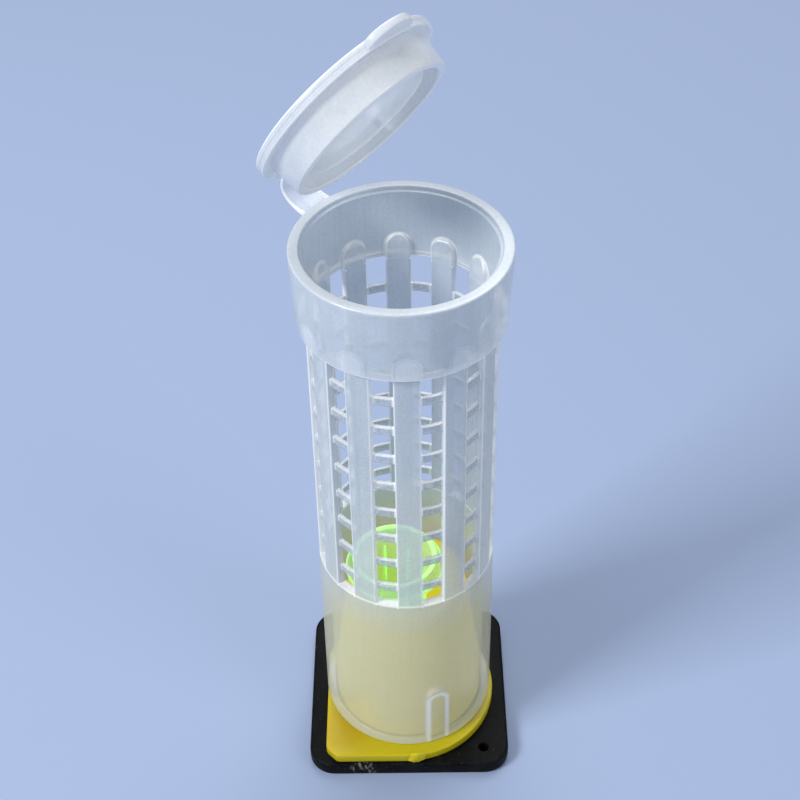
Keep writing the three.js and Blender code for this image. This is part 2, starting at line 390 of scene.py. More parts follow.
def ring_of(piece: Piece, count: int, start: float, material: Material) -> None:
    """Repeats a piece evenly round the upright axis.

    Args:
        piece: what is repeated, drawn at azimuth 0.
        count: how many.
        start: azimuth of the first, in degrees.
        material: their finish.
    """
    tree = GeometryTree("ring of pieces")
    number = tree.knob("Count", "Int", count)
    first = tree.knob("Start Angle", "Float", math.radians(start))
    points = tree.node("GeometryNodePoints")
    tree.link(number, points.inputs["Count"])
    index = tree.node("GeometryNodeInputIndex")
    pitch = tree.maths("DIVIDE", 2 * math.pi, number)
    angle = tree.maths("ADD", tree.maths("MULTIPLY", index.outputs[0], pitch), first)
    turn = tree.node("ShaderNodeCombineXYZ")
    tree.link(angle, turn.inputs["Z"])
    spread = tree.node("GeometryNodeInstanceOnPoints")
    tree.link(points.outputs[0], spread.inputs["Points"])
    tree.link(tree.inputs.outputs["Geometry"], spread.inputs["Instance"])
    tree.link(turn.outputs[0], spread.inputs["Rotation"])
    tree.finish(spread.outputs[0], material)
    tree.run(piece)


@dataclass
class HoopStack:
    """The thin hoops that cross the bars, with the rough face that the mould left on them."""

    count: int = 8
    lowest: float = 30.55
    pitch: float = 4.33
    inner: float = 10.05
    outer: float = 10.6
    height: float = 1.15
    edge: float = 0.14
    sides: int = 300
    edge_steps: int = 3
    profile_points: int = 22
    grain: float = 0.05
    grain_scale: float = 3.0

    def build(self, foot: float, material: Material) -> Piece:
        """Makes the stack.

        Args:
            foot: height of the cage's foot.
            material: its finish.

        Returns:
            The hoops as one mesh.
        """
        tree = GeometryTree("stack of hoops")
        circle = tree.node("GeometryNodeCurvePrimitiveCircle")
        tree.link(tree.knob("Sides", "Int", self.sides), circle.inputs["Resolution"])
        tree.link(tree.knob("Radius", "Float", (self.inner + self.outer) / 2), circle.inputs["Radius"])
        section = tree.node("GeometryNodeCurvePrimitiveQuadrilateral")
        tree.link(tree.knob("Thickness", "Float", self.outer - self.inner), section.inputs["Width"])
        tree.link(tree.knob("Height", "Float", self.height), section.inputs["Height"])
        rounded = tree.node("GeometryNodeFilletCurve")
        self._round_off(tree, section.outputs[0], rounded)
        cut = tree.node("GeometryNodeResampleCurve")
        cut.inputs["Count"].default_value = self.profile_points
        tree.link(rounded.outputs[0], cut.inputs["Curve"])
        swept = tree.node("GeometryNodeCurveToMesh")
        tree.link(circle.outputs[0], swept.inputs["Curve"])
        tree.link(cut.outputs[0], swept.inputs["Profile Curve"])
        line = tree.node("GeometryNodeMeshLine")
        tree.link(tree.knob("Count", "Int", self.count), line.inputs["Count"])
        self._rise(tree, "Lowest", foot + self.lowest + self.height / 2, line.inputs["Start Location"])
        self._rise(tree, "Pitch", self.pitch, line.inputs["Offset"])
        spread = tree.node("GeometryNodeInstanceOnPoints")
        tree.link(line.outputs[0], spread.inputs["Points"])
        tree.link(swept.outputs[0], spread.inputs["Instance"])
        real = tree.node("GeometryNodeRealizeInstances")
        tree.link(spread.outputs[0], real.inputs[0])
        tree.finish(self._roughen(tree, real.outputs[0]), material)
        hoops = Solid(np.zeros((0, 3)), []).place("hoops")
        tree.run(hoops)
        return hoops

    def _round_off(self, tree: GeometryTree, curve: Socket, rounded: bpy.types.Node) -> None:
        """Rounds the hoop's four edges."""
        rounded.mode = "POLY"
        tree.link(curve, rounded.inputs["Curve"])
        tree.link(tree.knob("Edge", "Float", self.edge), rounded.inputs["Radius"])
        rounded.inputs["Count"].default_value = self.edge_steps

    @staticmethod
    def _rise(tree: GeometryTree, name: str, value: float, end: Socket) -> None:
        """Feeds a height into a vector socket through a named input."""
        vector = tree.node("ShaderNodeCombineXYZ")
        tree.link(tree.knob(name, "Float", value), vector.inputs["Z"])
        tree.link(vector.outputs[0], end)

    def _roughen(self, tree: GeometryTree, geometry: Socket) -> Socket:
        """Moves the hoops' surface in and out by a fine fixed noise.

        Args:
            tree: the tree that is being built.
            geometry: the plain hoops.

        Returns:
            The roughened hoops.
        """
        noise = tree.node("ShaderNodeTexNoise", noise_dimensions="3D")
        tree.link(tree.knob("Grain Scale", "Float", self.grain_scale), noise.inputs["Scale"])
        centred = tree.maths("SUBTRACT", noise.outputs[0], 0.5)
        depth = tree.maths("MULTIPLY", centred, tree.knob("Grain", "Float", self.grain))
        normal = tree.node("GeometryNodeInputNormal")
        push = tree.node("ShaderNodeVectorMath", operation="SCALE")
        tree.link(normal.outputs[0], push.inputs[0])
        tree.link(depth, push.inputs["Scale"])
        moved = tree.node("GeometryNodeSetPosition")
        tree.link(geometry, moved.inputs["Geometry"])
        tree.link(push.outputs[0], moved.inputs["Offset"])
        return moved.outputs[0]


# ---------------------------------------------------------------- finishes


@dataclass(frozen=True)
class Polar:
    """A place as radius, azimuth and height."""

    radius: Socket
    azimuth: Socket
    height: Socket


class Shader:
    """A material with a Principled shader and a few ways to vary it."""

    def __init__(self, name: str) -> None:
        """Starts a material."""
        self.material = bpy.data.materials.new(name)
        self.material.use_nodes = True
        self.nodes = self.material.node_tree.nodes
        self.surface = self.nodes["Principled BSDF"]
        self.place = self.nodes.new("ShaderNodeTexCoord").outputs["Object"]

    def link(self, start: Socket, end: Socket) -> None:
        """Joins an output to an input."""
        self.material.node_tree.links.new(start, end)

    def constant(self, **values: object) -> None:
        """Sets the shader's own sockets; underscores in a name stand for spaces."""
        for name, value in values.items():
            self.surface.inputs[name.replace("_", " ")].default_value = value

    def noise(
        self, scale: float, detail: float = 3.0, stretch: Point = (1, 1, 1), seed: float = 0.0
    ) -> Socket:
        """Adds noise on the piece's own coordinates.

        Args:
            scale: cycles per metre.
            detail: octaves.
            stretch: factor along each axis.
            seed: shift along each axis, which picks the pattern.

        Returns:
            The noise, from 0 to 1.
        """
        mapping = self.nodes.new("ShaderNodeMapping")
        mapping.inputs["Scale"].default_value = stretch
        mapping.inputs["Location"].default_value = (seed, seed, seed)
        self.link(self.place, mapping.inputs["Vector"])
        noise = self.nodes.new("ShaderNodeTexNoise")
        noise.inputs["Scale"].default_value = scale
        noise.inputs["Detail"].default_value = detail
        self.link(mapping.outputs[0], noise.inputs["Vector"])
        return noise.outputs[0]

    def ramp(self, value: Socket, low: float, high: float, start: float, end: float) -> Socket:
        """Maps a range of values to another.

        Args:
            value: what is mapped.
            low: the value that gives start.
            high: the value that gives end.
            start: result at low.
            end: result at high.

        Returns:
            The mapped value, kept between start and end.
        """
        mapped = self.nodes.new("ShaderNodeMapRange")
        for name, number in (("From Min", low), ("From Max", high), ("To Min", start), ("To Max", end)):
            mapped.inputs[name].default_value = number
        self.link(value, mapped.inputs["Value"])
        return mapped.outputs[0]

    def maths(self, operation: str, first: object, second: object = 0.0) -> Socket:
        """Adds a maths node on sockets or numbers."""
        added = self.nodes.new("ShaderNodeMath")
        added.operation = operation
        for end, value in zip(added.inputs, (first, second)):
            if isinstance(value, Socket):
                self.link(value, end)
            else:
                end.default_value = value
        return added.outputs[0]

    def times(self, first: object, second: object) -> Socket:
        """The product of two sockets or numbers."""
        return self.maths("MULTIPLY", first, second)

    def plus(self, first: object, second: object) -> Socket:
        """The sum of two sockets or numbers."""
        return self.maths("ADD", first, second)

    def minus(self, first: object, second: object) -> Socket:
        """The difference of two sockets or numbers."""
        return self.maths("SUBTRACT", first, second)

    def above(self, value: Socket, limit: float) -> Socket:
        """1 above a limit and 0 below it."""
        return self.maths("GREATER_THAN", value, limit)

    def give(self, value: Socket, name: str) -> None:
        """Feeds a value into one of the shader's sockets."""
        self.link(value, self.surface.inputs[name])

    def blend(self, factor: Socket, first: object, second: object) -> Socket:
        """Mixes two colours.

        Args:
            factor: 0 for the first, 1 for the second.
            first: a colour or a socket.
            second: a colour or a socket.

        Returns:
            The mixed colour.
        """
        mix = self.nodes.new("ShaderNodeMix")
        mix.data_type = "RGBA"
        self.link(factor, mix.inputs["Factor"])
        for name, value in (("A", first), ("B", second)):
            socket = next(s for s in mix.inputs if s.name == name and s.type == "RGBA")
            if isinstance(value, Socket):
                self.link(value, socket)
            else:
                socket.default_value = (*value, 1.0)
        return next(s for s in mix.outputs if s.type == "RGBA")

    def polar(self, place: Socket) -> Polar:
        """Splits a place into radius, azimuth and height.

        Args:
            place: a position in metres.

        Returns:
            The three values, the lengths in millimetres and the azimuth in degrees.
        """
        split = self.nodes.new("ShaderNodeSeparateXYZ")
        self.link(place, split.inputs[0])
        x, y, z = split.outputs
        azimuth = self.times(self.maths("ARCTAN2", y, x), 180 / math.pi)
        return Polar(self.times(self.long_side(x, y), 1 / MM), azimuth, self.times(z, 1 / MM))

    def long_side(self, across: Socket, along: Socket) -> Socket:
        """The long side of a right triangle."""
        return self.maths("SQRT", self.plus(self.times(across, across), self.times(along, along)))

    def from_arch(self, across: Socket, height: Socket, shoulder: float) -> Socket:
        """How far a place is from the middle of a strip that ends in a half circle.

        Args:
            across: distance from the strip's middle line.
            height: height of the place.
            shoulder: height of the half circle's centre.

        Returns:
            The distance, which is the strip's half width on its outline.
        """
        return self.long_side(across, self.maths("MAXIMUM", self.minus(height, shoulder), 0.0))

    def own_place(self) -> Socket:
        """Where a point was on the piece as drawn, before it was swung or bent, in metres."""
        drawn = self.nodes.new("ShaderNodeAttribute")
        drawn.attribute_name = DRAWN
        return drawn.outputs["Vector"]

    def line(self, value: Socket, at: float, width: float) -> Socket:
        """1 where a value is close to a mark, falling to 0 at a width from it."""
        apart = self.maths("ABSOLUTE", self.minus(value, at))
        return self.ramp(apart, 0.3 * width, width, 1, 0)

    def between(self, value: Socket, low: float, high: float) -> Socket:
        """1 between two values and 0 outside them."""
        return self.times(self.above(value, low), self.maths("LESS_THAN", value, high))

    def most(self, masks: Sequence[Socket]) -> Socket:
        """The greatest of some masks."""
        result = masks[0]
        for mask in masks[1:]:
            result = self.maths("MAXIMUM", result, mask)
        return result

    def distance(self, point: Point) -> Socket:
        """Distance from a point given in millimetres, in metres."""
        apart = self.nodes.new("ShaderNodeVectorMath")
        apart.operation = "DISTANCE"
        self.link(self.place, apart.inputs[0])
        apart.inputs[1].default_value = tuple(MM * value for value in point)
        return apart.outputs["Value"]

    def bump(self, height: Socket, depth: float, strength: float = 1.0) -> None:
        """Raises the surface by a height map.

        Args:
            height: the map, from 0 to 1.
            depth: its full depth in millimetres.
            strength: share of it that shows.
        """
        bump = self.nodes.new("ShaderNodeBump")
        bump.inputs["Distance"].default_value = depth * MM
        bump.inputs["Strength"].default_value = strength
        self.link(height, bump.inputs["Height"])
        self.link(bump.outputs[0], self.surface.inputs["Normal"])


@dataclass(frozen=True)
class FrostedPlastic:
    """Milky polypropylene: light passes through it, shapes close behind it show, and its edges carry painted
    white highlights.
    """

    name: str = "cage_plastic"
    clear: Colour = (0.50, 0.58, 0.65)
    milky: Colour = (0.66, 0.71, 0.75)
    plug_light_cream: Colour = (0.64, 0.64, 0.45)
    edge: Colour = (0.92, 0.94, 0.94)
    grainy: Colour = (0.42, 0.47, 0.52)
    cover: float = 0.53
    cover_spread: float = 0.03
    collar_cover: float = 0.1
    highlight_cover: float = 0.32
    dull: float = 0.33
    dull_spread: float = 0.05
    bar_line: float = 0.24
    dome_fill: float = 0.34
    lip_line: float = 0.3
    sill_line: float = 0.28
    head_line: float = 0.22
    rim_line: float = 0.24
    foot_line: float = 0.25
    key_line: float = 0.5
    hoop_line: float = 0.16
    seed: float = 0.0

    @staticmethod
    def off_bar(shader: Shader, here: Polar) -> Socket:
        """Distance round the cage from the nearest bar's middle line, in millimetres."""
        cage = CageBody()
        turns = shader.maths("DIVIDE", shader.minus(here.azimuth, cage.first_bar), 360 / cage.bars)
        off = shader.maths("ABSOLUTE", shader.minus(turns, shader.maths("ROUND", turns)))
        return shader.times(shader.times(off, math.radians(360 / cage.bars)), here.radius)

    def edges(self, shader: Shader) -> Socket:
        """Marks where the plastic is painted white: highlights on edges where light gathers, and a lighter
        fill on the domes.

        Args:
            shader: the material that is being made.

        Returns:
            A mask, 1 on an edge.
        """
        cage = CageBody()
        here = shader.polar(shader.place)
        top = cage.foot + cage.height
        skirt_top = cage.foot + cage.skirt
        collar_low = top - cage.collar
        crown = collar_low + cage.dome
        around = shader.from_arch(self.off_bar(shader, here), here.height, crown - cage.bar_half)
        standing = shader.between(here.height, skirt_top - 0.3, crown + 0.3)
        outside = shader.above(here.radius, cage.neck_radius + 0.25)
        on_collar = shader.times(outside, shader.above(here.height, collar_low + 0.1))
        outline = shader.times(shader.line(around, cage.bar_half, self.bar_line), standing)
        sides = shader.times(outline, shader.ramp(on_collar, 0, 1, 0.9, 0.2))
        fill = shader.ramp(around, cage.bar_half - 0.4, cage.bar_half, self.dome_fill, 0)
        domes = shader.times(fill, shader.times(on_collar, standing))
        lip = shader.times(shader.line(here.height, collar_low, self.lip_line), outside)
        sill = shader.line(here.height, skirt_top, self.sill_line)
        sill = shader.times(sill, shader.ramp(outside, 0, 1, 0.7, 0.3))
        head = shader.line(here.height, collar_low, self.head_line)
        head = shader.times(head, shader.between(here.radius, 10, 11))
        rim = shader.times(shader.line(here.height, top, self.rim_line), 0.3)
        foot = shader.times(shader.line(here.height, cage.foot, self.foot_line), 0.7)
        hoops, keyway = self.hoop_top_highlights(shader, here), self.keyway(shader, here)
        return shader.most([sides, domes, lip, sill, head, rim, foot, hoops, keyway])

    def keyway(self, shader: Shader, here: Polar) -> Socket:
        """Marks the outline of the groove that takes the holder's key, for a painted highlight."""
        cage = CageBody()
        top = cage.foot + cage.key_height
        turn = shader.times(shader.minus(here.azimuth, cage.key_azimuth), math.radians(1))
        around = shader.from_arch(shader.times(turn, here.radius), here.height, top - cage.key_half)
        outline = shader.times(shader.line(around, cage.key_half, self.key_line), 0.8)
        return shader.times(outline, shader.maths("LESS_THAN", here.height, top + 1))

    def hoop_top_highlights(self, shader: Shader, here: Polar) -> Socket:
        """Marks the hoops' upper edges, for a painted highlight where their top faces catch the light."""
        hoops = CageBody().hoops
        first = CageBody().foot + hoops.lowest + hoops.height
        rows = shader.maths("DIVIDE", shader.minus(here.height, first), hoops.pitch)
        apart = shader.times(shader.minus(rows, shader.maths("ROUND", rows)), hoops.pitch)
        on_hoop = shader.between(here.radius, hoops.inner - 0.05, hoops.outer + 0.06)
        in_rows = shader.between(here.height, first - 1, first + hoops.pitch * hoops.count)
        strength = shader.times(shader.times(on_hoop, in_rows), 0.6)
        return shader.times(shader.line(apart, 0.0, self.hoop_line), strength)

    def hoop_faces(self, shader: Shader) -> Socket:
        """Marks the hoops between the bars."""
        cage = CageBody()
        here = shader.polar(shader.place)
        gap = shader.above(self.off_bar(shader, here), cage.bar_half + 0.02)
        high = cage.foot + cage.height - cage.collar - 0.4
        return shader.times(gap, shader.between(here.height, cage.foot + cage.skirt + 0.3, high))

    def roughened(self, shader: Shader) -> Socket:
        """Makes the hoops' faces grainy, against the smoother walls."""
        return shader.ramp(self.hoop_faces(shader), 0, 1, 0.25, 1.0)

    def tinted(self, shader: Shader, body: Socket, grain: Socket) -> Socket:
        """Makes the hoops greyer and grainy, and the skirt a little creamy, as light from the plug makes it.

        Args:
            shader: the material that is being made.
            body: the plastic's colour.
            grain: the fine grain.

        Returns:
            The colour of each place.
        """
        skirt_top = CageBody().foot + CageBody().skirt
        # Painted light: a cream tint low on the skirt stands in for the yellow plug's light coming through
        # it.
        lit = shader.ramp(shader.polar(shader.place).height, skirt_top - 6, skirt_top + 1, 1.0, 0.0)
        grey = shader.times(self.hoop_faces(shader), shader.ramp(grain, 0.42, 0.6, 1.0, 0.35))
        return shader.blend(grey, shader.blend(lit, body, self.plug_light_cream), self.grainy)

    def covering(self, shader: Shader, tint: Socket) -> Socket:
        """How far the plastic hides what is behind it: more in the collar, whose wall is thick."""
        height = shader.polar(shader.place).height
        collar_low = CageBody().foot + CageBody().height - CageBody().collar
        thick = shader.ramp(height, collar_low - 0.1, collar_low + 0.1, 0.0, self.collar_cover)
        cover = shader.ramp(tint, 0, 1, self.cover - self.cover_spread, self.cover + self.cover_spread)
        return shader.plus(cover, thick)

    def build(self) -> Material:
        """Makes the material: flow streaks along the moulding, cloudy patches and a fine satin grain."""
        shader = Shader(self.name)
        streaks = shader.noise(2200, 3, (1, 1, 0.05), self.seed)
        clouds = shader.noise(150, 3, seed=self.seed + 0.3)
        grain = shader.noise(3200, 4, seed=self.seed)
        fine = shader.plus(shader.times(streaks, 0.22), shader.times(grain, 0.38))
        tint = shader.ramp(shader.plus(fine, shader.times(clouds, 0.4)), 0.32, 0.68, 0, 1)
        edge = self.edges(shader)
        body = self.tinted(shader, shader.blend(tint, self.clear, self.milky), grain)
        # Painted highlights: the marked edges are whitened in the base colour and, below, made to hide more
        # of what is behind.
        shader.give(shader.blend(edge, body, self.edge), "Base Color")
        whole = shader.ramp(edge, 0, 1, 0.0, self.highlight_cover)
        shader.give(shader.plus(self.covering(shader, tint), whole), "Alpha")
        dull = shader.ramp(clouds, 0.3, 0.7, self.dull - self.dull_spread, self.dull + self.dull_spread)
        shader.give(dull, "Roughness")
        rough = shader.times(grain, self.roughened(shader))
        shader.bump(shader.plus(rough, shader.times(streaks, 0.1)), 0.08, 0.5)
        shader.constant(IOR=PLASTIC_IOR, Coat_Weight=0.5, Coat_Roughness=0.16)
        return shader.material


@dataclass(frozen=True)
class LidPlastic(FrostedPlastic):
    """The same plastic on the lid, whose thicker walls look milkier."""

    name: str = "lid_plastic"
    clear: Colour = (0.72, 0.77, 0.81)
    milky: Colour = (0.86, 0.88, 0.89)
    cover: float = 0.6
    seed: float = 0.7

    def edges(self, shader: Shader) -> Socket:
        """Marks the lid's edges for painted white highlights, on the lid as it was drawn closed."""
        lid = Lid()
        here = shader.polar(shader.own_place())
        mouth_z = -lid.plug_depth
        brim = shader.most([shader.line(here.height, 0, 0.22), shader.line(here.height, lid.thick, 0.25)])
        brim = shader.times(brim, shader.above(here.radius, lid.radius - 0.4))
        mouth = shader.times(shader.line(here.height, mouth_z, 0.3), shader.between(here.radius, 8, 10.6))
        floor_corner = shader.line(here.radius, lid.well + lid.well_wall, 0.22)
        floor = shader.times(floor_corner, shader.between(here.height, mouth_z, mouth_z + lid.recess + 0.3))
        return shader.most([brim, mouth, floor])

    def roughened(self, shader: Shader) -> Socket:
        """The lid is smooth, and slightly less so away from the cage's axis."""
        return shader.ramp(shader.polar(shader.place).radius, 0, 30, 0.12, 0.2)

    def tinted(self, shader: Shader, body: Socket, grain: Socket) -> Socket:
        """The lid keeps the plain plastic's colour."""
        return body

    def covering(self, shader: Shader, tint: Socket) -> Socket:
        """The lid hides what is behind it evenly."""
        return shader.ramp(tint, 0, 1, self.cover - self.cover_spread, self.cover + self.cover_spread)


@dataclass(frozen=True)
class StrapPlastic(LidPlastic):
    """The same plastic where it is thin and clear, with painted white highlights along its long edges."""

    name: str = "strap_plastic"
    cover: float = 0.28
    dull: float = 0.16
    seed: float = 0.4

    def edges(self, shader: Shader) -> Socket:
        """Marks the strap's long edges for painted highlights, on the strap as it was drawn flat across."""
        split = shader.nodes.new("ShaderNodeSeparateXYZ")
        shader.link(shader.own_place(), split.inputs[0])
        across = shader.times(shader.maths("ABSOLUTE", split.outputs["Y"]), 1 / MM)
        side = HingeStrap().width / 2
        return shader.ramp(across, side - 0.42, side - 0.2, 0, 1)


@dataclass(frozen=True)
class YellowPlastic:
    """Lemon-mustard moulding, warmer in colour where it is thick, with a painted glow on the plug above the
    cage's foot.
    """

    name: str = "yellow_plastic"
    lemon: Colour = (0.47, 0.40, 0.006)
    amber: Colour = (0.42, 0.28, 0.003)
    glow: Colour = (0.90, 0.76, 0.06)
    painted_glow_strength: float = 0.42
    warm_corner: Point = (-8, -8, 3)

    def build(self) -> Material:
        """Makes the material."""
        shader = Shader(self.name)
        clouds = shader.noise(160, 2)
        warm = shader.ramp(shader.distance(self.warm_corner), 0.001, 0.007, 0.9, 0.0)
        patch = shader.times(warm, shader.ramp(clouds, 0.3, 0.6, 0.4, 1.0))
        shader.give(shader.blend(patch, self.lemon, self.amber), "Base Color")
        fine = shader.noise(2600, 3)
        shader.give(shader.ramp(fine, 0.3, 0.7, 0.26, 0.42), "Roughness")
        shader.bump(fine, 0.03, 0.35)
        foot = CageBody().foot
        # Painted glow: the holder gives off light above the cage's foot, so the plug looks lit inside the
        # cage.
        plug = shader.ramp(shader.polar(shader.place).height, foot, foot + 0.55, 0.0, self.painted_glow_strength)
        shader.give(plug, "Emission Strength")
        shader.constant(
            Subsurface_Weight=0.35, Subsurface_Radius=(1.0, 0.6, 0.08), Subsurface_Scale=0.0025, IOR=1.5,
            Specular_IOR_Level=0.3, Emission_Color=(*self.glow, 1.0),
        )
        return shader.material


@dataclass(frozen=True)
class GreenPlastic:
    """Clear fluorescent green that gathers light and gives it off at its edges."""

    name: str = "green_plastic"
    body: Colour = (0.56, 0.74, 0.46)
    glow: Colour = (0.52, 0.96, 0.30)
    light: Colour = (0.56, 1.0, 0.38)
    edge_line: float = 0.35

    def build(self) -> Material:
        """Makes the material."""
        shader = Shader(self.name)
        cup = CellCup()
        drawn = shader.polar(shader.own_place())
        collar_rim = shader.line(drawn.radius, cup.collar, self.edge_line)
        brim = shader.line(drawn.height, cup.length, self.edge_line)
        foot = shader.line(drawn.height, 0.0, self.edge_line)
        ribs = shader.between(drawn.radius, cup.neck + 0.12, cup.neck + 0.7)
        on_body = shader.maths("LESS_THAN", drawn.height, cup.collar_at - 0.5)
        edge = shader.most([collar_rim, brim, foot, shader.times(ribs, on_body)])
        fine = shader.noise(1500, 2)
        tint = shader.ramp(fine, 0.3, 0.7, 0.0, 0.35)
        shader.give(shader.blend(shader.most([tint, edge]), self.body, self.glow), "Base Color")
        shader.give(shader.ramp(fine, 0.3, 0.7, 0.12, 0.22), "Roughness")
        shader.give(shader.ramp(edge, 0, 1, 0.45, 0.95), "Alpha")
        shader.give(shader.ramp(edge, 0, 1, 0.13, 0.5), "Emission Strength")
        shader.bump(fine, 0.02, 0.3)
        shader.constant(IOR=PLASTIC_IOR, Emission_Color=(*self.light, 1.0))
        return shader.material


@dataclass(frozen=True)
class BlackPlastic:
    """Charcoal moulding, dull on top, with scuffed edges and a dusty nick in front."""

    name: str = "black_plastic"
    charcoal: Colour = (0.002, 0.0022, 0.0025)
    worn: Colour = (0.008, 0.0083, 0.009)
    dust: Colour = (0.30, 0.29, 0.26)
    nick_at: Point = (-6.3, -13.4, 0.9)

    def build(self) -> Material:
        """Makes the material."""
        shader = Shader(self.name)
        smears = shader.noise(500, 4, (1, 0.35, 1), 0.2)
        specks = shader.noise(3800, 4, seed=0.6)
        worn = shader.blend(shader.ramp(smears, 0.45, 0.75, 0, 1), self.charcoal, self.worn)
        scratches = shader.noise(2600, 3, (1, 1, 0.35), 0.9)
        near_nick = shader.ramp(shader.distance(self.nick_at), 0.0004, 0.0021, 1, 0)
        nick = shader.times(near_nick, shader.ramp(scratches, 0.50, 0.66, 0, 0.9))
        dusty = shader.most([nick, shader.ramp(specks, 0.64, 0.76, 0, 0.22)])
        shader.give(shader.blend(dusty, worn, self.dust), "Base Color")
        shader.give(shader.ramp(smears, 0.3, 0.7, 0.42, 0.62), "Roughness")
        shader.bump(specks, 0.06, 0.6)
        shader.constant(Specular_IOR_Level=0.08)
        return shader.material


# ---------------------------------------------------------------- pieces


@dataclass
class Belonging:
    """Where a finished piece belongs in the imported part."""

    body: str
    node: str
    slot: str


def finish_piece(piece: Piece, name: str, material: Material, crease: float) -> Piece:
    """Names a piece, gives it its finish and smooth shading, and turns it into metres.

    Args:
        piece: the drawn piece.
        name: its name.
        material: its finish.
        crease: angle in degrees above which an edge stays crisp.

    Returns:
        The same piece.
    """
    piece.name = name
    mesh = piece.data
    mesh.name = name
    mesh.transform(Matrix.Scale(MM, 4))
    mesh.materials.clear()
    mesh.materials.append(material)
    mesh.polygons.foreach_set("material_index", [0] * len(mesh.polygons))
    mesh.shade_smooth()
    mesh.set_sharp_from_angle(angle=math.radians(crease))
    return piece


def keep_drawn_place(piece: Piece) -> None:
    """Stores each point's place, in metres, before the piece is swung to where it stands."""
    mesh = piece.data
    place = mesh.attributes.new(DRAWN, "FLOAT_VECTOR", "POINT")
    places = np.empty(len(mesh.vertices) * 3)
    mesh.vertices.foreach_get("co", places)
    place.data.foreach_set("vector", places * MM)


def settle(piece: Piece, home: Belonging) -> None:
    """Ties a rigid piece to its body and lets it stand for its node."""
    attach(piece, home.body)
    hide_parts(home.node)
    LOG.info("%s: %d faces on body %s", piece.name, len(piece.data.polygons), home.body)


@dataclass
class BaseBlock:
    """The square block that is nailed to a frame's cell bar."""

    side: float = 27.0
    corner: float = 3.4
    thick: float = 2.1
    edge: float = 0.4
    nail_hole: float = 0.65
    countersink: float = 0.8
    nail_at: tuple[float, float] = (10.1, -10.7)
    spigot: float = 7.6
    spigot_bore: float = 6.2
    spigot_height: float = 2.9

    def plan(self) -> np.ndarray:
        """The block's outline, anticlockwise."""
        inset = self.side / 2 - self.corner
        corners: list[Corner] = []
        for quarter, (x, y) in enumerate(((1, 1), (-1, 1), (-1, -1), (1, -1))):
            corners += arc((x * inset, y * inset), self.corner, quarter * 90, quarter * 90 + 90, 14)
        return soften(corners)

    def build(self, material: Material) -> Piece:
        """Makes the block.

        Args:
            material: its finish.

        Returns:
            The finished block.
        """
        block = slab(self.plan(), 0, self.thick, self.edge, 5).place("base_block_body")
        top = self.thick + self.spigot_height
        root = self.thick - 0.6
        ring = [
            (self.spigot_bore, root, 0), (self.spigot, root, 0), (self.spigot, top, 0.3),
            (self.spigot_bore, top, 0.3),
        ]
        join(block, revolve(ring, 128).place("spigot"), Joining.UNION)
        for side in (1, -1):
            carry = Matrix.Translation((side * self.nail_at[0], side * self.nail_at[1], 0))
            hole = [
                (0, -1, 0), (self.nail_hole, -1, 0), (self.nail_hole, self.thick - 0.15, 0.05),
                (self.countersink, self.thick + 0.05, 0), (self.countersink, self.thick + 1, 0),
                (0, self.thick + 1, 0),
            ]
            join(block, revolve(hole, 40).turned(carry).place("nail_hole"), Joining.CUT)
        return finish_piece(block, "base_block_moulding", material, 40)


